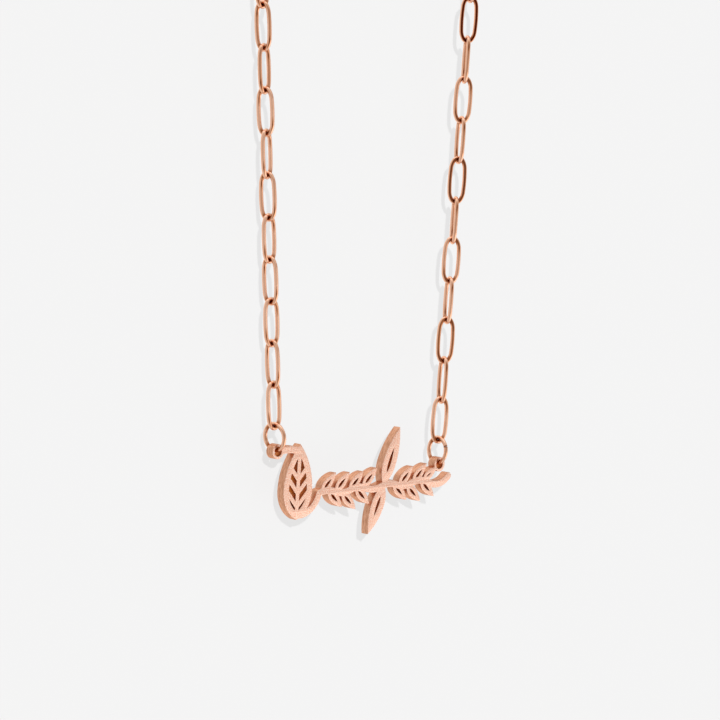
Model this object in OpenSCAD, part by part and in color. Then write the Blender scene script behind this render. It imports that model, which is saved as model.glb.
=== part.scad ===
// Nameplate necklace: a cut-out plate in the form of a leafy branch, hung by two jump rings
// from a paper-clip chain that closes with a clasp at the back of the neck.
// Millimetres. +X runs along the plate to the viewer's right, the plate's front faces -Y and
// +Z is up. The origin is the underside of the arch at its top, where the necklace hangs.

/* [Plate] */
// Distance across between the two eyelet centres
eyelet_span = 35; // [30:0.5:45]
// Height of the left eyelet above the right one
eyelet_drop = 4.7; // [0:0.1:6]
// Thickness of the plate
plate_t = 1.5; // [1:0.1:2]
// Width of every stroke of the cut-out
stroke_w = 1.15; // [0.9:0.05:1.3]
// Diameter of the eyelet holes
eyelet_d = 1.46; // [1.3:0.02:1.8]
// Wall of metal round each eyelet hole
eyelet_wall = 0.45; // [0.3:0.05:0.8]

/* [Ornament] */
// Depth of the stem's middle line below the eyelets
stem_drop = 4.9; // [4.5:0.05:5.5]
// Height of each wave of the stem
stem_rise = 0.3; // [0.2:0.05:0.5]
// Number of waves of the stem between the veined leaf and the end curl
stem_waves = 7; // [5:1:9]
// Length of the veined leaf that stands at the left
veined_leaf_l = 11.9; // [10:0.1:13]
// Width of the veined leaf
veined_leaf_w = 6; // [5:0.1:7]
// Width of the veins in it
vein_w = 0.75; // [0.6:0.05:0.9]
// Length of the tall leaf above the stem
tall_leaf_l = 9.8; // [8:0.1:11]
// Length of the leaf that hangs below the stem
hanging_leaf_l = 8.4; // [6:0.1:9]
// Length of each of the small leaves
small_leaf_l = 4.2; // [3.8:0.1:4.6]
// Length of the curl past the stem's last wave
curl_l = 4.9; // [3:0.1:6]

/* [Chain] */
// Wire of the links and rings
wire_d = 0.65; // [0.5:0.05:0.8]
// Length of a link over its ends
link_l = 7.93; // [7:0.01:10]
// Width of a link over its sides
link_w = 3.15; // [2.8:0.05:3.6]
// Number of links on each side of the neck
links_each_side = 30; // [20:2:40]
// Lean of each side of the chain from upright, in degrees
side_lean = 3.7; // [2:0.1:8]
// Clear space between two pieces that hang in each other
hang_gap = 0.15; // [0.14:0.01:0.2]

/* [Rings and clasp] */
// Inside diameter of the jump rings that carry the plate, and of the end ring
ring_id = 3.6; // [3:0.1:4.5]
// Inside diameter of the small ring that carries the clasp
clasp_ring_id = 2.8; // [2.6:0.1:3.5]
// Width of the clasp over its claw
clasp_w = 5; // [4.5:0.1:6]
// Length of the clasp's claw
claw_l = 7; // [6:0.1:9]
// Thickness of the clasp
clasp_t = 1.5; // [1.2:0.1:1.8]
// Width of the claw's metal
claw_wall = 1.15; // [0.9:0.05:1.4]
// Diameter of the clasp's eye over its metal
clasp_eye_w = 2.5; // [2.2:0.1:3]
// Diameter of the hole in the clasp's eye
clasp_eye_d = 1.4; // [1.2:0.05:1.6]
// Length of the clasp's neck between its eye and its claw
clasp_neck_l = 1.2; // [0.6:0.1:2]

/* [Hidden] */

$fn = 48;

rose_gold = [0.87, 0.62, 0.50];
rose_wire = [0.80, 0.55, 0.43];

// How far each link is turned about the chain's run, in degrees, counted from the plate up.
// Neighbours stand square to each other before this turn. Past the last value it eases to none.
left_turns = [5, 1, 1, 7, 10, 14, 22, 16, 16, 10];
right_turns = [-13, -20, -21, -23, -24, -32, -25, -21, -25, -32, -22];
// The same turn for the two rings that carry the plate
left_ring_turn = 4;
right_ring_turn = -3;

// A link's end is a tight arc at its tip between two wide arcs at its shoulders. Their radii to
// the middle of the wire, as shares of half the link's width
tip_share = 0.72;
shoulder_share = 1.8;
// The tip laps over both shoulders by this angle, and is thicker by a hair so that they join
tip_lap = 4;
tip_extra_d = 0.01;

// Small leaves above the stem, then those below it: where each stands, as shares of the stem
upper_leaves = [0.02, 0.145, 0.27, 0.395, 0.735, 0.865];
lower_leaves = [0.08, 0.205, 0.33, 0.68, 0.81, 0.94];
small_leaf_lean = 47;
// Where the larger leaves stand along the stem, and their leans from upright
tall_leaf_at = 0.585;
tall_leaf_lean = 21;
hanging_leaf_at = 0.6;
hanging_leaf_lean = 180 + 24;
lug_leaf_at = 0.965;
veined_leaf_lean = 3;
// Widths of the leaves as shares of their lengths, and where a leaf is widest
small_leaf_wide = 0.42;
tall_leaf_wide = 0.29;
hanging_leaf_wide = 0.33;
belly = 0.38;
// The veined leaf's side veins: where each pair leaves the middle vein, and their lean from it
vein_places = [0.17, 0.35, 0.53];
vein_lean = 42;
// Metal on each side of a small leaf's slot, as a share of the stroke
small_leaf_side = 0.58;

// More clear space at the clasp's rings, for the bend of the run over the neck
bend_slack = 0.08;

// Lengths along the chain's run
link_pitch = link_l - 2 * wire_d - hang_gap;
side_run = links_each_side * link_pitch;

// A ring that passes through a flat piece rests on the edges of its hole, so this is how far
// the hole's edge lies from the ring's centre
function seat(inner_d, thickness) = sqrt(pow(inner_d / 2, 2) - pow(thickness / 2, 2)) - hang_gap;
// From the last link's bearing point to a ring's centre
function ring_reach(inner_d) = (inner_d - hang_gap) / 2;
eyelet_reach = ring_reach(ring_id) + seat(ring_id, plate_t) + eyelet_d / 2;

// The clasp, measured along its own length from the centre of its eye
claw_start = clasp_eye_w / 2 + clasp_neck_l;
claw_end = claw_start + claw_l;
claw_open_l = claw_l - 2 * claw_wall;
claw_open_w = clasp_w - 2 * claw_wall;
claw_bearing = claw_end - claw_wall;
clasp_ring_to_eye = seat(clasp_ring_id, clasp_t) - bend_slack + clasp_eye_d / 2;
end_ring_to_claw = seat(ring_id, clasp_t) - bend_slack;

// The run from the left chain's end, over the clasp, to the right chain's end. The clasp lies
// straight between its two rings.
clasp_ring_at = side_run + ring_reach(clasp_ring_id);
end_ring_at = clasp_ring_at + clasp_ring_to_eye + claw_bearing + end_ring_to_claw;
total_run = end_ring_at + ring_reach(ring_id) + side_run;

// The chain rises on each side in a straight line and bends over the top in one round arch
side_spread = eyelet_span / 2 + eyelet_reach * sin(side_lean);
arch_turn = 180 + 2 * side_lean;
arch_r = (total_run + 2 * side_spread / sin(side_lean))
    / (2 * cos(side_lean) / sin(side_lean) + arch_turn * PI / 180);
arch_z = link_w / 2 - arch_r;
straight_run = (arch_r * cos(side_lean) - side_spread) / sin(side_lean);
foot_z = arch_z - (arch_r - side_spread * cos(side_lean)) / sin(side_lean);
half_drop = eyelet_drop / 2;
left_straight = straight_run - half_drop / cos(side_lean);
arch_run = arch_r * arch_turn * PI / 180;
plate_x = -half_drop * tan(side_lean);
plate_z = foot_z - eyelet_reach * cos(side_lean);
left_foot = [-side_spread - half_drop * tan(side_lean), foot_z + half_drop];

// Heading of the run and its place at a length s from the left ring
function heading(s) = s < left_straight ? 90 + side_lean
    : s < left_straight + arch_run ? 90 + side_lean - (s - left_straight) / arch_r * 180 / PI
    : -90 - side_lean;
function on_arch(angle) = [-arch_r * sin(angle), arch_z + arch_r * cos(angle)];
function run_point(s) = s < left_straight
    ? left_foot + s * [-sin(side_lean), cos(side_lean)]
    : s < left_straight + arch_run
    ? on_arch(heading(s))
    : on_arch(-90 - side_lean)
        + (s - left_straight - arch_run) * [-sin(side_lean), -cos(side_lean)];

// The turn of link number i, eased to none between the last listed link and the clasp
function eased(turns, i) = i < len(turns) ? turns[i]
    : turns[len(turns) - 1] * (links_each_side - 1 - i) / (links_each_side - len(turns));
function square_turn(i) = i % 2 * 90;

// The link's wire: where its tip, shoulders and limbs meet
bend_w = (link_w - wire_d) / 2;
tip_r = tip_share * bend_w;
shoulder_r = shoulder_share * bend_w;
tip_rise = sqrt(pow(shoulder_r - tip_r, 2) - pow(shoulder_r - bend_w, 2));
shoulder_turn = atan2(tip_rise, shoulder_r - bend_w);
tip_z = (link_l - wire_d) / 2 - tip_r;
shoulder_z = tip_z - tip_rise;

// The stem: where each wave starts, and its middle line at a share along it
veined_leaf_foot = [-0.385 * eyelet_span, -1.77 * stem_drop];
stem_start = [-0.25 * eyelet_span, -stem_drop];
stem_end = [0.42 * eyelet_span, -stem_drop];
wave_l = (stem_end[0] - stem_start[0]) / stem_waves;
wave_r = (wave_l * wave_l / 4 + stem_rise * stem_rise) / (2 * stem_rise);
function wave_side(i) = i % 2 == 0 ? 1 : -1;
function wave_height(u) = sqrt(wave_r * wave_r - pow((u - 0.5) * wave_l, 2)) - (wave_r - stem_rise);
function stem_point(share) = let(at = share * stem_waves, i = floor(at))
    [stem_start[0] + at * wave_l, -stem_drop + wave_side(i) * wave_height(at - i)];
function ahead(from, length, lean) = from + length * [sin(lean), cos(lean)];

left_eyelet = [-eyelet_span / 2, half_drop];
right_eyelet = [eyelet_span / 2, -half_drop];
eyelet_w = eyelet_d + 2 * eyelet_wall;

// A stroke of even width with round ends. It bows to the left of its way by rise.
module bow(from, to, rise) {
    chord = norm(to - from);
    radius = (chord * chord / 4 + rise * rise) / (2 * abs(rise));
    half_angle = 2 * atan(2 * abs(rise) / chord);
    far = 2 * (radius + stroke_w);
    translate((from + to) / 2)
        rotate(atan2(to[1] - from[1], to[0] - from[0]))
            mirror([0, rise < 0 ? 1 : 0])
                translate([0, abs(rise) - radius])
                    intersection() {
                        difference() {
                            circle(radius + stroke_w / 2);
                            circle(radius - stroke_w / 2);
                        }
                        polygon(concat([[0, 0]],
                            [for (t = [-1 : 0.5 : 1]) far * [sin(t * half_angle), cos(t * half_angle)]]));
                    }
    translate(from) circle(d = stroke_w);
    translate(to) circle(d = stroke_w);
}

module lens(arc_r, apart) {
    intersection() {
        translate([-apart, 0]) circle(arc_r);
        translate([apart, 0]) circle(arc_r);
    }
}

// A leaf's outline with its foot at the origin, or the line that runs inside it by inset
module leaf_form(length, width, inset = 0) {
    low = belly * length;
    high = length - low;
    low_r = (low * low + width * width / 4) / width;
    high_r = (high * high + width * width / 4) / width;
    translate([0, low]) {
        lens(low_r - inset, low_r - width / 2);
        intersection() {
            lens(high_r - inset, high_r - width / 2);
            translate([-width / 2, 0]) square([width, length]);
        }
    }
}

// A leaf with a slot along its middle
module leaf(foot, length, lean, wide, side) {
    translate(foot)
        rotate(-lean)
            difference() {
                leaf_form(length, wide * length);
                leaf_form(length, wide * length, side);
            }
}

// A leaf cut through between its veins
module veined_leaf() {
    translate(veined_leaf_foot)
        rotate(-veined_leaf_lean)
            difference() {
                leaf_form(veined_leaf_l, veined_leaf_w);
                difference() {
                    leaf_form(veined_leaf_l, veined_leaf_w, stroke_w);
                    translate([-vein_w / 2, 0]) square([vein_w, veined_leaf_l]);
                    for (place = vein_places, side = [-1, 1])
                        translate([0, place * veined_leaf_l])
                            rotate(-side * vein_lean)
                                translate([-vein_w / 2, 0])
                                    square([vein_w, veined_leaf_w]);
                }
            }
}

module stem() {
    leaf_top = ahead(veined_leaf_foot, veined_leaf_l - stroke_w, veined_leaf_lean);
    bow(left_eyelet + [(eyelet_w - stroke_w) / 2, 0], leaf_top, 0.25 * stroke_w);
    bow(ahead(veined_leaf_foot, 0.65 * stroke_w, veined_leaf_lean), stem_start, -0.9 * stroke_w);
    for (i = [0 : stem_waves - 1])
        bow(stem_start + [i * wave_l, 0], stem_start + [(i + 1) * wave_l, 0],
            wave_side(i) * stem_rise);
    bow(stem_end, stem_end + [curl_l, 0.1 * curl_l], -0.18 * curl_l);
}

module leaves() {
    small_side = small_leaf_side * stroke_w;
    lug_way = right_eyelet - stem_point(lug_leaf_at);
    lug_leaf_l = norm(lug_way) - eyelet_d / 2;
    for (place = upper_leaves)
        leaf(stem_point(place), small_leaf_l, small_leaf_lean, small_leaf_wide, small_side);
    for (place = lower_leaves)
        leaf(stem_point(place), small_leaf_l, 180 - small_leaf_lean, small_leaf_wide, small_side);
    leaf(stem_point(tall_leaf_at), tall_leaf_l, tall_leaf_lean, tall_leaf_wide, stroke_w);
    leaf(stem_point(hanging_leaf_at), hanging_leaf_l, hanging_leaf_lean, hanging_leaf_wide,
        stroke_w);
    leaf(stem_point(lug_leaf_at), lug_leaf_l, atan2(lug_way[0], lug_way[1]), small_leaf_wide,
        small_side);
    veined_leaf();
}

module nameplate() {
    color(rose_gold)
        translate([plate_x, 0, plate_z])
            rotate([90, 0, 0])
                linear_extrude(plate_t, center = true)
                    difference() {
                        union() {
                            stem();
                            leaves();
                            for (eyelet = [left_eyelet, right_eyelet])
                                translate(eyelet) circle(d = eyelet_w);
                        }
                        for (eyelet = [left_eyelet, right_eyelet])
                            translate(eyelet) circle(d = eyelet_d);
                    }
}

// Stand a piece in the run: its length along the run, its width turned from the plate's plane
module in_run(from, to, turn) {
    a = run_point(from);
    b = run_point(to);
    way = b - a;
    translate([(a[0] + b[0]) / 2, 0, (a[1] + b[1]) / 2])
        rotate([0, 90 - atan2(way[1], way[0]), 0])
            rotate([0, 0, turn])
                children();
}

// Round wire bent in the XZ plane about the origin, from one angle on by a turn
module bent_wire(radius, from_angle, turn, thick = wire_d) {
    rotate([90, 0, 0])
        rotate_extrude(angle = turn, start = from_angle)
            translate([radius, 0])
                circle(d = thick);
}

module link() {
    tip_start = shoulder_turn - tip_lap;
    for (end = [0, 1])
        mirror([0, 0, end]) {
            translate([0, 0, tip_z])
                bent_wire(tip_r, tip_start, 180 - 2 * tip_start, wire_d + tip_extra_d);
            for (side = [0, 1])
                mirror([side, 0, 0])
                    translate([bend_w - shoulder_r, 0, shoulder_z])
                        bent_wire(shoulder_r, 0, shoulder_turn);
        }
    for (side = [-1, 1])
        translate([side * bend_w, 0, 0])
            cylinder(d = wire_d, h = 2 * shoulder_z, center = true);
}

module ring(inner_d) {
    bent_wire((inner_d + wire_d) / 2, 0, 360);
}

module jump_ring_left() {
    color(rose_wire)
        in_run(-2 * ring_reach(ring_id), 0, 90 + left_ring_turn)
            ring(ring_id);
}

module jump_ring_right() {
    color(rose_wire)
        in_run(total_run, total_run + 2 * ring_reach(ring_id), 90 - right_ring_turn)
            ring(ring_id);
}

module chain_left() {
    color(rose_wire)
        for (i = [0 : links_each_side - 1])
            in_run(i * link_pitch, (i + 1) * link_pitch, square_turn(i) + eased(left_turns, i))
                link();
}

module chain_right() {
    color(rose_wire)
        for (i = [0 : links_each_side - 1])
            in_run(total_run - i * link_pitch, total_run - (i + 1) * link_pitch,
                square_turn(i) + eased(right_turns, i))
                link();
}

module clasp_ring() {
    color(rose_wire)
        in_run(side_run, side_run + 2 * ring_reach(clasp_ring_id), 0)
            ring(clasp_ring_id);
}

module end_ring() {
    color(rose_wire)
        in_run(total_run - side_run - 2 * ring_reach(ring_id), total_run - side_run, 0)
            ring(ring_id);
}

// A flat bar with round ends, standing along Z
module round_bar(length, width, thickness) {
    for (end = [-1, 1])
        translate([0, 0, end * (length - width) / 2])
            rotate([90, 0, 0])
                cylinder(d = width, h = thickness, center = true);
    cube([width, thickness, length - width], center = true);
}

module clasp() {
    neck_w = clasp_eye_w - claw_wall / 2;
    color(rose_wire)
        in_run(clasp_ring_at, end_ring_at, 90)
            translate([0, 0, clasp_ring_to_eye - (end_ring_at - clasp_ring_at) / 2])
                difference() {
                    union() {
                        rotate([90, 0, 0]) cylinder(d = clasp_eye_w, h = clasp_t, center = true);
                        translate([-neck_w / 2, -clasp_t / 2, 0])
                            cube([neck_w, clasp_t, claw_start + claw_wall]);
                        translate([0, 0, claw_start + claw_l / 2])
                            round_bar(claw_l, clasp_w, clasp_t);
                    }
                    rotate([90, 0, 0]) cylinder(d = clasp_eye_d, h = 2 * clasp_t, center = true);
                    translate([0, 0, claw_start + claw_l / 2])
                        round_bar(claw_open_l, claw_open_w, 2 * clasp_t);
                }
}

nameplate();
jump_ring_left();
jump_ring_right();
chain_left();
chain_right();
clasp();
clasp_ring();
end_ring();
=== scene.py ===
"""Nameplate necklace: smooth wire, softened edges, metal finishes and a plain pale studio.

Every link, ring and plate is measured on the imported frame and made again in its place.
"""

import math

import bmesh
import bpy
import numpy as np
from mathutils import Matrix, Vector
from mathutils.kdtree import KDTree


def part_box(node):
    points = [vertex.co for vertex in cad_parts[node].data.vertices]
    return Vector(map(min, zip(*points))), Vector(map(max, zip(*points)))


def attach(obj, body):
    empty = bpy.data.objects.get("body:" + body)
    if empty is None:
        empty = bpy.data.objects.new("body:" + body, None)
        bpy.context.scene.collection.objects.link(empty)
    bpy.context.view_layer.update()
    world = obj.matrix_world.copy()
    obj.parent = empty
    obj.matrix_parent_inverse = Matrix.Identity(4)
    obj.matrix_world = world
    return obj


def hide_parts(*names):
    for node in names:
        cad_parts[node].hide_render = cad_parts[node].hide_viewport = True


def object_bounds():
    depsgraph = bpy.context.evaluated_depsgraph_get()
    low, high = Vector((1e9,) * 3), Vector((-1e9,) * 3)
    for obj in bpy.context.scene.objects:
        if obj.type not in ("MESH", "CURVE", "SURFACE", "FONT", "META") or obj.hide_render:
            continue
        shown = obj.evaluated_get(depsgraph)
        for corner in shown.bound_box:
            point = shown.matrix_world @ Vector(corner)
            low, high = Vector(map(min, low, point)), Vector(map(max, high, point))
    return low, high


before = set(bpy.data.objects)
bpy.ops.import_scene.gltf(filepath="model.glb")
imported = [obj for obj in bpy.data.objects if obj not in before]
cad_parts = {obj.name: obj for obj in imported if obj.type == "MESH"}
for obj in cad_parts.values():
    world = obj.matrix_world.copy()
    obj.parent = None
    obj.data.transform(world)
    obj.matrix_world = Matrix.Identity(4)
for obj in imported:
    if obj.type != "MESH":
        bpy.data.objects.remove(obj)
cad_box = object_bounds()

MM = 0.001
UP = Vector((0, 0, 1))
MERGE_DISTANCE = 0.0005 * MM
# A measured solid's length is counted this way, mostly upwards
LENGTH_WAY = np.array([0.1, 0, 1])

# A link's tip radius as a share of half its width, and the share of its length that its two
# limbs take, each bowed outwards by a hair
TIP_SHARE = 0.72
LIMB_SHARE = 0.5
LIMB_BOW = 0.08 * MM
# How far each end of a link or ring stays inside its solid, to sit on the next one as real
# links do, where the solids keep a gap
SEAT_DRAW = 0.068 * MM
WIRE_SIDES = 24
TIP_STEPS = 14
SHOULDER_STEPS = 7
LIMB_STEPS = 6
RING_STEPS = 96

# The vertex layer that holds how much painted shade and painted dark reflection darken the wire,
# from 0 to 1
PAINTED_SHADE_LAYER = "painted_shade"
# The inner side of each bend is darkened with painted shade where two pieces meet, from this far
# below its top
BEND_SHADE_START = 1.15 * MM
BEND_SHADE_FULL = 0.55 * MM
BEND_PAINTED_SHADE = 0.7
# How far from the wire's middle the inner side's painted shade fades out, as a share of its radius
INNER_FADE = 0.45
# The two ends of a split ring's wire are darkened with painted shade, for the shade in the split
SPLIT_PAINTED_SHADE = 0.9
# Wire also has a painted dark reflection, a streak along the side that faces this way, wider where
# it is darker
STREAK_AZIMUTH = math.radians(-121)
STREAK_WAY = Matrix.Rotation(STREAK_AZIMUTH, 3, "Z") @ Vector((1, 0, 0))
STREAK_HALF = math.radians(9)
STREAK_GROWTH = math.radians(18)
STREAK_SOFT = math.radians(18)
# Near its ends every link's painted streak is at least this dark, from this far below its top
END_STREAK = 0.83
END_STREAK_START = 2.7 * MM
END_STREAK_FULL = 1.9 * MM
# That is so on one limb above and on the other below, and fades out across the link between
# these shares of its half width
END_STREAK_NONE_AT = -0.2
END_STREAK_ALL_AT = 0.5
# How dark the painted streak is on each link that the photo shows, counted from the plate up, on
# the other links and on the rings
LINK_STREAK = {
    "chain_left": [0, 0.1, 0, 0.05, 0.1, 0.2, 0.05, 0.05, 0.4, 0.4, 0.4],
    "chain_right": [0.1, 0.45, 0.65, 0.2, 0.25, 0.3, 0.85, 0.35, 0.3, 0.35, 1.0],
}
HIDDEN_STREAK = 0.25
RING_STREAK = 0.35

# The split in a ring: how wide it is, and where it lies, from the front of the ring upwards
SPLIT_WIDTH = 0.12 * MM
RIGHT_SPLIT_AT = math.radians(22)
HIDDEN_SPLIT_AT = math.radians(-90)

PLATE_BEVEL = 0.07 * MM
CLASP_BEVEL = 0.25 * MM
BEVEL_STEPS = 3
SHARP_ANGLE = math.radians(38)
# How nearly a face of a flat solid points along its thickness, as a cosine, to be a part of its
# cap, to be shaded flat, and to have the finish of its front
CAP_COSINE = 0.99
FLAT_COSINE = 0.999
FRONT_COSINE = 0.8
# The nameplate's finishes by number, where 0 is its front
WALL_FINISH = 1
# The slots and holes get a darker metal, painted shade for their dim recesses
SHADED_SLOT_FINISH = 2

# The camera, as fitted to the chain, the rings and the lugs in the photo
CAMERA_TARGET = Vector((-0.15, 0.0, -172.16)) * MM
CAMERA_AZIMUTH = math.radians(-43.0)
CAMERA_ELEVATION = math.radians(6.16)
CAMERA_ROLL = math.radians(1.37)
CAMERA_DISTANCE = 0.5
CAMERA_CLIP = 0.01
FOCAL_PIXELS = 3165
IMAGE_PIXELS = 720
SENSOR_WIDTH = 36

# The colours of metal under half and full painted shade
HALF_SHADE_COLOUR = (0.52, 0.20, 0.08)
FULL_SHADE_COLOUR = (0.11, 0.009, 0.0)
# Stretches of a noise: none, and in short and long stripes along the plate's walls
EVEN = (1, 1, 1)
SHORT_STRIPES = (0.3, 1, 0.3)
LONG_STRIPES = (0.07, 1, 0.07)
COLOUR_DETAIL = 1.0
BUMP_DETAIL = 2.0
# Most of a noise lies between these values
NOISE_LOW = 0.3
NOISE_HIGH = 0.7

# Linear radiance of the photo's background, sRGB 244
BACKGROUND = 0.905

# The stage: a floor and a sheet of paper close behind the plate, and the lamp whose faint
# shadows fall on the sheet. The glows bring the lit paper up to the background.
PAPER = 0.1
FLOOR_GLOW = 0.776
SHEET_GLOW = 0.698
STAGE_HALF_WIDTH = 0.25
FLOOR_REACH = 0.5
FLOOR_BELOW = 0.1
SHEET_ABOVE = 0.05
SHEET_BEHIND = 5.7 * MM
LAMP_TRAVEL = Vector((3.92, 5.5, -2.15))
LAMP_STRENGTH = 5.1
LAMP_ANGLE = math.radians(1.6)

# The studio round the object: its plain surround, and panels with their middles, half sizes and
# soft edges in degrees, and how much light each adds
SURROUND = 0.76
LIGHT_PANELS = {
    "lower_softbox": dict(across=-48, half_width=48, up=-30, half_height=18, soft=12, amount=0.75),
    "side_softbox": dict(across=-32, half_width=24, up=-8, half_height=12, soft=10, amount=0.2),
    "overhead": dict(across=0, half_width=360, up=78, half_height=22, soft=16, amount=0.5),
    "back_panel": dict(across=82, half_width=30, up=0, half_height=60, soft=16, amount=0.3),
}
# Brown cards that darken what the polished wire reflects, each by its amount
CARD_COLOUR = (0.14, 0.035, 0.01)
CARDS = {
    "gap_between_lamps": dict(
        across=-140, half_width=25, up=0, half_height=60, soft=14, amount=0.25
    ),
    "upper_card": dict(across=-58, half_width=46, up=15, half_height=12, soft=8, amount=0.3),
    "side_card": dict(across=15, half_width=26, up=0, half_height=60, soft=14, amount=0.14),
}


def merged_mesh(node):
    """A CAD node as a bmesh with its corners merged."""
    mesh = bmesh.new()
    mesh.from_mesh(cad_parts[node].data)
    bmesh.ops.remove_doubles(mesh, verts=mesh.verts, dist=MERGE_DISTANCE)
    return mesh


def loose_solids(node):
    """The triangles of each loose solid of a CAD node, as arrays of corners."""
    mesh = merged_mesh(node)
    bmesh.ops.triangulate(mesh, faces=mesh.faces)
    seen = set()
    solids = []
    for start in mesh.faces:
        if start in seen:
            continue
        seen.add(start)
        reached = [start]
        for face in reached:
            for edge in face.edges:
                for other in edge.link_faces:
                    if other not in seen:
                        seen.add(other)
                        reached.append(other)
        solids.append(np.array([[v.co[:] for v in face.verts] for face in reached]))
    mesh.free()
    return solids


def measured(triangles):
    """A solid's place as a matrix whose X, Y and Z are its width, thickness and length, and
    its spans along them."""
    middles = triangles.mean(axis=1)
    sides_a = triangles[:, 1] - triangles[:, 0]
    sides_b = triangles[:, 2] - triangles[:, 0]
    areas = np.linalg.norm(np.cross(sides_a, sides_b), axis=1)
    centre = (middles * areas[:, None]).sum(axis=0) / areas.sum()
    offsets = middles - centre
    spread = (offsets * areas[:, None]).T @ offsets
    thin, wide, long = np.linalg.eigh(spread)[1].T
    if long @ LENGTH_WAY < 0:
        long = -long
    wide = np.cross(thin, long)
    corners = triangles.reshape(-1, 3) - centre
    spans = [float(np.ptp(corners @ axis)) for axis in (wide, thin, long)]
    middle = centre + sum(
        axis * ((corners @ axis).max() + (corners @ axis).min()) / 2
        for axis in (wide, thin, long)
    )
    return placed(wide, thin, long, middle), spans


def placed(wide, thin, long, middle):
    """A place as a matrix with these axes and this middle."""
    columns = [[float(number) for number in axis] for axis in (wide, thin, long, middle)]
    return Matrix([*zip(*columns), (0, 0, 0, 1)])


def upright(place):
    """The same place turned about its thin axis until its Z points up as far as it can, with
    its X towards the front."""
    thin = place.col[1].xyz.normalized()
    long = (UP - thin * UP.dot(thin)).normalized()
    if thin.cross(long).y > 0:
        thin = -thin
    return placed(thin.cross(long), thin, long, place.translation)


def arc(centre, radius, start, end, steps):
    """Points of an arc with their outward directions, without its last point."""
    angles = [start + (end - start) * i / steps for i in range(steps)]
    ways = [Vector((math.cos(a), math.sin(a))) for a in angles]
    return [(centre + radius * way, way) for way in ways]


def link_path(width, length, wire):
    """The middle line of a link's wire in its own plane, once round.

    Each limb bows by a hair, and the shoulders run smoothly from the limbs into the tips."""
    half = (width - wire) / 2
    tip = TIP_SHARE * half
    tip_at = Vector((0, (length - wire) / 2 - tip))
    limb_half = LIMB_SHARE * length / 2
    limb = (limb_half ** 2 + LIMB_BOW ** 2) / (2 * LIMB_BOW)
    limb_turn = math.asin(limb_half / limb)
    limb_at = Vector((half - limb, 0))
    outward = Vector((math.cos(limb_turn), math.sin(limb_turn)))
    joint = limb_at + limb * outward
    gap = joint - tip_at
    shoulder = (gap.length_squared - tip ** 2) / (2 * (outward.dot(gap) - tip))
    shoulder_at = joint - shoulder * outward
    to_tip = tip_at - shoulder_at
    turn = math.atan2(to_tip.y, to_tip.x)
    across = Vector((-shoulder_at.x, shoulder_at.y))
    half_way = (
        arc(limb_at, limb, -limb_turn, limb_turn, LIMB_STEPS)
        + arc(shoulder_at, shoulder, limb_turn, turn, SHOULDER_STEPS)
        + arc(tip_at, tip, turn, math.pi - turn, TIP_STEPS)
        + arc(across, shoulder, math.pi - turn, math.pi - limb_turn, SHOULDER_STEPS)
    )
    return half_way + [(-point, -way) for point, way in half_way]


def ring_path(diameter, split_at):
    """The middle line of a ring's wire, open by the split's width at an angle."""
    half_split = SPLIT_WIDTH / diameter
    start = split_at + half_split
    end = split_at + 2 * math.pi - half_split
    step = (end - start) / RING_STEPS
    return arc(Vector((0, 0)), diameter / 2, start, end + step, RING_STEPS + 1)


def share(value, low, high):
    """How far a value has come from low to high, held between 0 and 1."""
    return min(max((value - low) / (high - low), 0), 1)


def add_wire(mesh, place, path, wire, streak, side=1, closed=True):
    """Round wire along a flat path, in the X and Z of a place, added to a bmesh.

    The streak says how dark the painted dark reflection along it is. Closed wire is a link, with
    painted shade inside its bends, and its side, 1 or -1, picks the limb whose streak is darker
    above. Open wire is a ring, with painted shade on the ends at its split."""
    layers = mesh.verts.layers.float
    painted_shade = layers.get(PAINTED_SHADE_LAYER) or layers.new(PAINTED_SHADE_LAYER)
    turn = place.to_3x3()
    half = STREAK_HALF + streak * STREAK_GROWTH
    top = max(point.y for point, _ in path)
    far = max(point.x for point, _ in path)
    upper_dark = math.copysign(1, side * turn.col[0].x)
    rounds = []
    for step, (point, way) in enumerate(path):
        height = abs(point.y)
        bend = BEND_PAINTED_SHADE * share(height, top - BEND_SHADE_START, top - BEND_SHADE_FULL)
        near_end = share(height, top - END_STREAK_START, top - END_STREAK_FULL)
        dark_way = math.copysign(1, upper_dark * point.y)
        near_end *= share(dark_way * point.x, END_STREAK_NONE_AT * far, END_STREAK_ALL_AT * far)
        strength = max(streak, END_STREAK * near_end) if closed else streak
        at_split = not closed and step in (0, len(path) - 1)
        least = SPLIT_PAINTED_SHADE if at_split else 0
        middle = Vector((point.x, 0, point.y))
        around = []
        for i in range(WIRE_SIDES):
            angle = 2 * math.pi * i / WIRE_SIDES
            out = math.cos(angle)
            normal = Vector((way.x * out, math.sin(angle), way.y * out))
            vert = mesh.verts.new(place @ (middle + normal * wire / 2))
            inner = share(-out, -INNER_FADE, INNER_FADE)
            off = STREAK_WAY.angle(turn @ normal)
            facing = 1 - share(off, half, half + STREAK_SOFT)
            # Painted shade inside bends and at a split, and the painted dark reflection of the
            # streak
            vert[painted_shade] = max(inner * bend, facing * strength, least)
            around.append(vert)
        rounds.append(around)
    last = len(rounds) if closed else len(rounds) - 1
    for i in range(last):
        here = rounds[i]
        there = rounds[(i + 1) % len(rounds)]
        for j in range(WIRE_SIDES):
            k = (j + 1) % WIRE_SIDES
            mesh.faces.new((here[j], here[k], there[k], there[j])).smooth = True
    if not closed:
        mesh.faces.new(rounds[0])
        mesh.faces.new(list(reversed(rounds[-1])))


def as_piece(mesh, name, node, materials):
    """Make a bmesh into a smooth piece that stands for a CAD node."""
    bmesh.ops.recalc_face_normals(mesh, faces=mesh.faces)
    data = bpy.data.meshes.new(name)
    mesh.to_mesh(data)
    mesh.free()
    data.set_sharp_from_angle(angle=SHARP_ANGLE)
    for material in materials:
        data.materials.append(material)
    piece = bpy.data.objects.new(name, data)
    bpy.context.scene.collection.objects.link(piece)
    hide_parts(node)
    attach(piece, "root")


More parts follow.
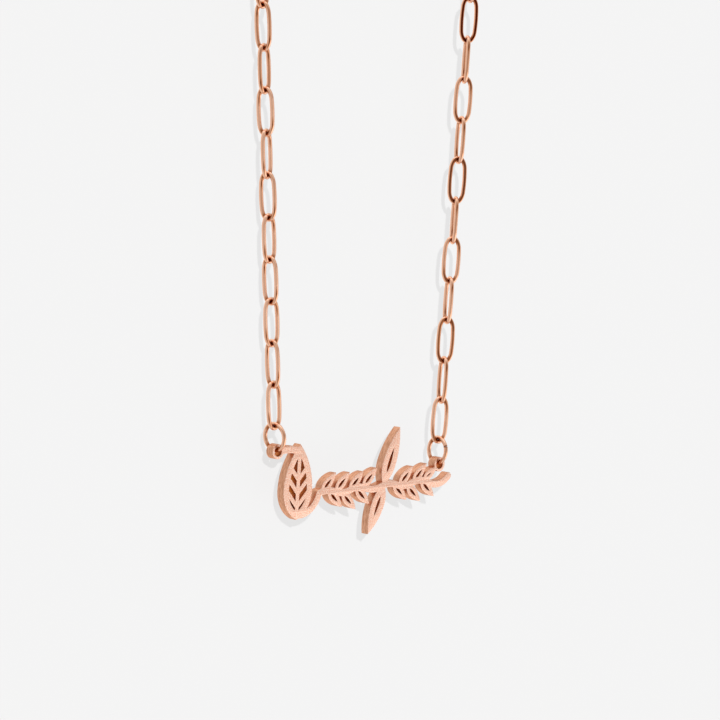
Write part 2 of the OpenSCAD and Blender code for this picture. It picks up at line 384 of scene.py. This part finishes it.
def make_chain(node, material):
    """All links of one side of the chain, each where its solid lies."""
    mesh = bmesh.new()
    links = [measured(solid) for solid in loose_solids(node)]
    links.sort(key=lambda link: link[0].translation.z)
    listed = LINK_STREAK[node]
    for i, (place, (width, wire, length)) in enumerate(links):
        streak = listed[i] if i < len(listed) else HIDDEN_STREAK
        side = 1 if i % 2 == 0 else -1
        path = link_path(width, length - 2 * SEAT_DRAW, wire)
        add_wire(mesh, place, path, wire, streak, side)
    as_piece(mesh, node + "_wire", node, [material])


def make_ring(node, material, split_at):
    """A ring of round wire where its solid lies, split at an angle."""
    (solid,) = loose_solids(node)
    place, (width, wire, _) = measured(solid)
    mesh = bmesh.new()
    path = ring_path(width - wire - 2 * SEAT_DRAW, split_at)
    add_wire(mesh, upright(place), path, wire, RING_STREAK, closed=False)
    as_piece(mesh, node + "_wire", node, [material])


def cap_loops(node, place):
    """The closed outlines of a flat solid's front, in the X and Z of its place."""
    mesh = merged_mesh(node)
    front = -place.col[1].xyz.normalized()
    into = place.inverted()
    cap = [face for face in mesh.faces if face.normal.dot(front) > CAP_COSINE]
    in_cap = set(cap)
    follows = {}
    for face in cap:
        for loop in face.loops:
            if not any(other in in_cap for other in loop.edge.link_faces if other is not face):
                follows[loop.vert] = loop.link_loop_next.vert
    loops = []
    while follows:
        start, here = follows.popitem()
        outline = [start]
        while here is not start:
            outline.append(here)
            here = follows.pop(here)
        flat = [into @ vert.co for vert in outline]
        loops.append([(point.x, point.z) for point in flat])
    mesh.free()
    return loops


def soft_plate(node, place, thickness, bevel):
    """A flat solid made again from its outlines with rounded edges, as a bmesh."""
    curve = bpy.data.curves.new(node + "_outline", "CURVE")
    curve.dimensions = "2D"
    curve.fill_mode = "BOTH"
    curve.extrude = thickness / 2 - bevel
    curve.bevel_depth = bevel
    curve.bevel_resolution = BEVEL_STEPS
    curve.offset = -bevel
    for outline in cap_loops(node, place):
        spline = curve.splines.new("POLY")
        spline.points.add(len(outline) - 1)
        for point, (x, z) in zip(spline.points, outline):
            point.co = (x, z, 0, 1)
        spline.use_cyclic_u = True
    stand = bpy.data.objects.new(node + "_outline", curve)
    bpy.context.scene.collection.objects.link(stand)
    graph = bpy.context.evaluated_depsgraph_get()
    data = bpy.data.meshes.new_from_object(stand.evaluated_get(graph))
    bpy.data.objects.remove(stand)
    bpy.data.curves.remove(curve)
    mesh = bmesh.new()
    mesh.from_mesh(data)
    bpy.data.meshes.remove(data)
    # The curve lies in XY, so its Y becomes the place's Z and its Z the place's -Y
    stand_up = Matrix.Rotation(math.pi / 2, 4, "X")
    bmesh.ops.transform(mesh, matrix=place @ stand_up, verts=mesh.verts)
    bmesh.ops.remove_doubles(mesh, verts=mesh.verts, dist=MERGE_DISTANCE)
    mesh.normal_update()
    thin = place.col[1].xyz
    for face in mesh.faces:
        face.smooth = abs(face.normal.dot(thin)) < FLAT_COSINE
    return mesh


def make_nameplate(front, wall, slot_wall):
    """The cut-out plate: satin on its two faces, striped and partly darkened with painted shade on
    its cut walls, and darkened brown with painted shade in its slots and holes."""
    low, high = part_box("nameplate")
    place = Matrix.Translation((Vector(low) + Vector(high)) / 2)
    mesh = soft_plate("nameplate", place, high[1] - low[1], PLATE_BEVEL)
    # The widest outline is the plate's outside, and the others are its slots and holes
    outlines = cap_loops("nameplate", place)
    outlines.sort(key=lambda outline: -np.ptp(outline, axis=0)[0])
    nearest = KDTree(sum(map(len, outlines)))
    on_slot = []
    for number, outline in enumerate(outlines):
        for x, z in outline:
            nearest.insert(place @ Vector((x, 0, z)), len(on_slot))
            on_slot.append(number > 0)
    nearest.balance()
    for face in mesh.faces:
        if abs(face.normal.y) > FRONT_COSINE:
            continue
        middle = face.calc_center_median()
        middle.y = place.translation.y
        _, corner, _ = nearest.find(middle)
        face.material_index = SHADED_SLOT_FINISH if on_slot[corner] else WALL_FINISH
    as_piece(mesh, "nameplate_soft", "nameplate", [front, wall, slot_wall])


def make_clasp(material):
    """The plain clasp with well rounded edges."""
    (solid,) = loose_solids("clasp")
    place, (_, thickness, _) = measured(solid)
    mesh = soft_plate("clasp", place, thickness, CLASP_BEVEL)
    as_piece(mesh, "clasp_soft", "clasp", [material])


class Nodes:
    """A short way to add shader nodes to a tree and join them."""

    def __init__(self, tree):
        self.tree = tree
        tree.nodes.clear()

    def add(self, kind, settings=None, **inputs):
        """A new node with these settings and inputs, with _ for a space in an input's name."""
        node = self.tree.nodes.new("ShaderNode" + kind)
        for name, value in (settings or {}).items():
            setattr(node, name, value)
        for name, value in inputs.items():
            self.put(node, name.replace("_", " "), value)
        return node

    def put(self, node, name, value):
        """Set or link an input, found by its name, or by its number as in i0."""
        by_number = name[0] == "i" and name[1:].isdigit()
        socket = node.inputs[int(name[1:]) if by_number else name]
        if isinstance(value, bpy.types.NodeSocket):
            self.tree.links.new(value, socket)
        else:
            socket.default_value = value

    def math(self, operation, *values):
        """The result of a sum on numbers or outputs."""
        node = self.add("Math", {"operation": operation})
        for i, value in enumerate(values):
            self.put(node, f"i{i}", value)
        return node.outputs[0]

    def noise(self, size, detail, stretch):
        """Noise with grains of a size in metres, stretched along each axis of the object."""
        place = self.add("TexCoord").outputs["Object"]
        mapped = self.add("Mapping", Vector=place, Scale=[1 / size * s for s in stretch])
        texture = self.add("TexNoise", Vector=mapped.outputs[0], Scale=1.0, Detail=detail)
        return texture.outputs["Fac"]

    def between(self, noise, low, high):
        """A noise spread out from low to high."""
        node = self.add("MapRange", Value=noise, To_Min=low, To_Max=high)
        self.put(node, "From Min", NOISE_LOW)
        self.put(node, "From Max", NOISE_HIGH)
        return node.outputs["Result"]

    def mixed(self, factor, first, second):
        """Two colours mixed by a factor that is held between 0 and 1."""
        node = self.add("Mix", {"data_type": "RGBA"}, i0=factor)
        for socket, colour in (("i6", first), ("i7", second)):
            linked = isinstance(colour, bpy.types.NodeSocket)
            self.put(node, socket, colour if linked else (*colour, 1))
        return node.outputs[2]


def metal(name, colours, edge, roughness, bumps, grain, with_painted_shade=False):
    """A metal whose colour and roughness wander between two values, with layers of bump.

    Edge is its tint where it is seen at a glance. Each bump is its size across, its height
    and its stretch. The grain is the size and stretch of the colour's noise."""
    material = bpy.data.materials.new(name)
    material.use_nodes = True
    nodes = Nodes(material.node_tree)
    grain_size, grain_stretch = grain
    wander = nodes.noise(grain_size, COLOUR_DETAIL, grain_stretch)
    surface = nodes.add("BsdfPrincipled", Metallic=1.0)
    colour = nodes.mixed(nodes.between(wander, 0, 1), *colours)
    if with_painted_shade:
        shade_share = nodes.add("Attribute", {"attribute_name": PAINTED_SHADE_LAYER}).outputs["Fac"]
        # The first half of the painted shade turns the metal brown, and the second half dark
        colour = nodes.mixed(nodes.math("MULTIPLY", shade_share, 2), colour, HALF_SHADE_COLOUR)
        colour = nodes.mixed(nodes.math("MULTIPLY_ADD", shade_share, 2, -1), colour, FULL_SHADE_COLOUR)
    surface.inputs["Specular Tint"].default_value = (*edge, 1)
    nodes.put(surface, "Base Color", colour)
    nodes.put(surface, "Roughness", nodes.between(wander, *roughness))
    normal = None
    for size, height, stretch in bumps:
        bump = nodes.add("Bump", Strength=1.0, Distance=height)
        nodes.put(bump, "Height", nodes.noise(size, BUMP_DETAIL, stretch))
        if normal:
            nodes.put(bump, "Normal", normal)
        normal = bump.outputs[0]
    nodes.put(surface, "Normal", normal)
    nodes.add("OutputMaterial", Surface=surface.outputs[0])
    return material


def studio_world():
    """A plain soft studio all round: the background colour to the camera, panels to the metal."""
    world = bpy.data.worlds.new("studio")
    world.use_nodes = True
    nodes = Nodes(world.node_tree)
    way = nodes.add("SeparateXYZ", Vector=nodes.add("TexCoord").outputs["Generated"])
    across = nodes.math("ARCTAN2", way.outputs["Y"], way.outputs["X"])
    height = nodes.math("ARCSINE", way.outputs["Z"])

    def window(value, middle, half, soft):
        """1 where a direction is within half of the middle, and 0 past a soft edge."""
        off = nodes.math("SUBTRACT", value, math.radians(middle))
        off = nodes.math("WRAP", off, math.pi, -math.pi)
        edge = nodes.add(
            "MapRange",
            {"interpolation_type": "SMOOTHSTEP"},
            Value=nodes.math("ABSOLUTE", off),
            From_Min=math.radians(half - soft / 2),
            From_Max=math.radians(half + soft / 2),
            To_Min=1,
            To_Max=0,
        )
        return edge.outputs["Result"]

    def total(panels, start):
        """The start with the amounts of all panels added."""
        for panel in panels.values():
            shape = nodes.math(
                "MULTIPLY",
                window(across, panel["across"], panel["half_width"], panel["soft"]),
                window(height, panel["up"], panel["half_height"], panel["soft"]),
            )
            start = nodes.math("MULTIPLY_ADD", shape, panel["amount"], start)
        return start

    lit = total(LIGHT_PANELS, SURROUND)
    light = nodes.add("CombineColor", Red=lit, Green=lit, Blue=lit)
    card = nodes.math("MINIMUM", total(CARDS, 0), 1)
    studio = nodes.add("Background", Color=nodes.mixed(card, light.outputs[0], CARD_COLOUR))
    plain = nodes.add("Background", Color=(BACKGROUND, BACKGROUND, BACKGROUND, 1))
    mix = nodes.add(
        "MixShader",
        i0=nodes.add("LightPath").outputs["Is Camera Ray"],
        i1=studio.outputs[0],
        i2=plain.outputs[0],
    )
    nodes.add("OutputWorld", Surface=mix.outputs[0])
    bpy.context.scene.world = world


def paper(name, glow):
    """Plain pale paper that shows from its front only, with a glow that brings it up to the
    background's brightness."""
    material = bpy.data.materials.new(name)
    material.use_nodes = True
    nodes = Nodes(material.node_tree)
    matte = nodes.add("BsdfDiffuse", Color=(PAPER, PAPER, PAPER, 1))
    lift = nodes.add("Emission", Strength=glow)
    both = nodes.add("AddShader", i0=matte.outputs[0], i1=lift.outputs[0])
    one_sided = nodes.add(
        "MixShader",
        i0=nodes.add("NewGeometry").outputs["Backfacing"],
        i1=both.outputs[0],
        i2=nodes.add("BsdfTransparent").outputs[0],
    )
    nodes.add("OutputMaterial", Surface=one_sided.outputs[0])
    return material


def make_sheet(name, corners, glow):
    """A flat sheet of paper on the stage, seen by the camera only."""
    mesh = bpy.data.meshes.new(name)
    mesh.from_pydata(corners, [], [(0, 1, 2, 3)])
    mesh.materials.append(paper(name + "_paper", glow))
    sheet = bpy.data.objects.new(name, mesh)
    bpy.context.scene.collection.objects.link(sheet)
    sheet.visible_glossy = False
    sheet.visible_diffuse = False
    sheet.visible_shadow = False


def make_stage():
    """A plain pale floor below the hanging necklace and a sheet close behind it."""
    low, high = cad_box
    side = STAGE_HALF_WIDTH
    floor = low[2] - FLOOR_BELOW
    top = high[2] + SHEET_ABOVE
    left = (-side, SHEET_BEHIND, floor)
    right = (side, SHEET_BEHIND, floor)
    front = [(-side, -FLOOR_REACH, floor), (side, -FLOOR_REACH, floor)]
    make_sheet("floor", [*front, right, left], FLOOR_GLOW)
    upper = [(side, SHEET_BEHIND, top), (-side, SHEET_BEHIND, top)]
    make_sheet("back_sheet", [left, right, *upper], SHEET_GLOW)


def make_lamp():
    """A lamp from the front that throws faint shadows on the sheet and no glints on the metal."""
    data = bpy.data.lights.new("soft_lamp", "SUN")
    data.energy = LAMP_STRENGTH
    data.angle = LAMP_ANGLE
    lamp = bpy.data.objects.new("soft_lamp", data)
    lamp.visible_glossy = False
    lamp.rotation_mode = "QUATERNION"
    lamp.rotation_quaternion = LAMP_TRAVEL.to_track_quat("-Z", "Y")
    bpy.context.scene.collection.objects.link(lamp)


def make_camera():
    """The camera at the photo's angle, distance and roll."""
    back = Vector((
        math.sin(CAMERA_AZIMUTH) * math.cos(CAMERA_ELEVATION),
        -math.cos(CAMERA_AZIMUTH) * math.cos(CAMERA_ELEVATION),
        math.sin(CAMERA_ELEVATION),
    ))
    level = Vector((math.cos(CAMERA_AZIMUTH), math.sin(CAMERA_AZIMUTH), 0))
    upward = back.cross(level)
    right = level * math.cos(CAMERA_ROLL) + upward * math.sin(CAMERA_ROLL)
    place = placed(right, back.cross(right), back, CAMERA_TARGET + back * CAMERA_DISTANCE)
    data = bpy.data.cameras.new("camera")
    data.sensor_width = SENSOR_WIDTH
    data.sensor_fit = "HORIZONTAL"
    data.lens = SENSOR_WIDTH * FOCAL_PIXELS / IMAGE_PIXELS
    data.clip_start = CAMERA_CLIP
    camera = bpy.data.objects.new("camera", data)
    camera.matrix_world = place
    bpy.context.scene.collection.objects.link(camera)
    bpy.context.scene.camera = camera


make_camera()
studio_world()
make_stage()
make_lamp()
bpy.context.scene.view_settings.view_transform = "Standard"

wire_metal = metal(
    "rose_gold_polished",
    colours=((0.91, 0.53, 0.355), (0.96, 0.58, 0.41)),
    edge=(1.0, 0.77, 0.64),
    roughness=(0.17, 0.25),
    bumps=[(4 * MM, 0.05 * MM, EVEN), (0.5 * MM, 0.003 * MM, EVEN)],
    grain=(1.5 * MM, EVEN),
    with_painted_shade=True,
)
front_metal = metal(
    "rose_gold_satin",
    colours=((0.77, 0.35, 0.23), (0.94, 0.73, 0.595)),
    edge=(1.0, 0.85, 0.75),
    roughness=(0.38, 0.44),
    bumps=[(0.2 * MM, 0.02 * MM, EVEN)],
    grain=(0.19 * MM, EVEN),
)
# The cut walls' darker colour is partly their own duller cut finish and partly painted shade for
# the dimmer light they reflect
wall_metal = metal(
    "rose_gold_cut_and_shade",
    colours=((0.57, 0.275, 0.158), (0.85, 0.46, 0.295)),
    edge=(0.9, 0.7, 0.6),
    roughness=(0.34, 0.42),
    bumps=[(0.14 * MM, 0.006 * MM, LONG_STRIPES), (0.18 * MM, 0.006 * MM, EVEN)],
    grain=(0.22 * MM, SHORT_STRIPES),
)
# Painted shade: the slot walls' darker, browner colour stands in for the shade inside the narrow
# slots and holes
slot_metal = metal(
    "rose_gold_slot_shade",
    colours=((0.52, 0.18, 0.06), (0.74, 0.32, 0.14)),
    edge=(0.5, 0.25, 0.12),
    roughness=(0.45, 0.55),
    bumps=[(0.14 * MM, 0.006 * MM, LONG_STRIPES)],
    grain=(0.3 * MM, LONG_STRIPES),
)

make_chain("chain_left", wire_metal)
make_chain("chain_right", wire_metal)
make_ring("jump_ring_left", wire_metal, HIDDEN_SPLIT_AT)
make_ring("jump_ring_right", wire_metal, RIGHT_SPLIT_AT)
make_ring("clasp_ring", wire_metal, HIDDEN_SPLIT_AT)
make_ring("end_ring", wire_metal, HIDDEN_SPLIT_AT)
make_nameplate(front_metal, wall_metal, slot_metal)
make_clasp(wire_metal)
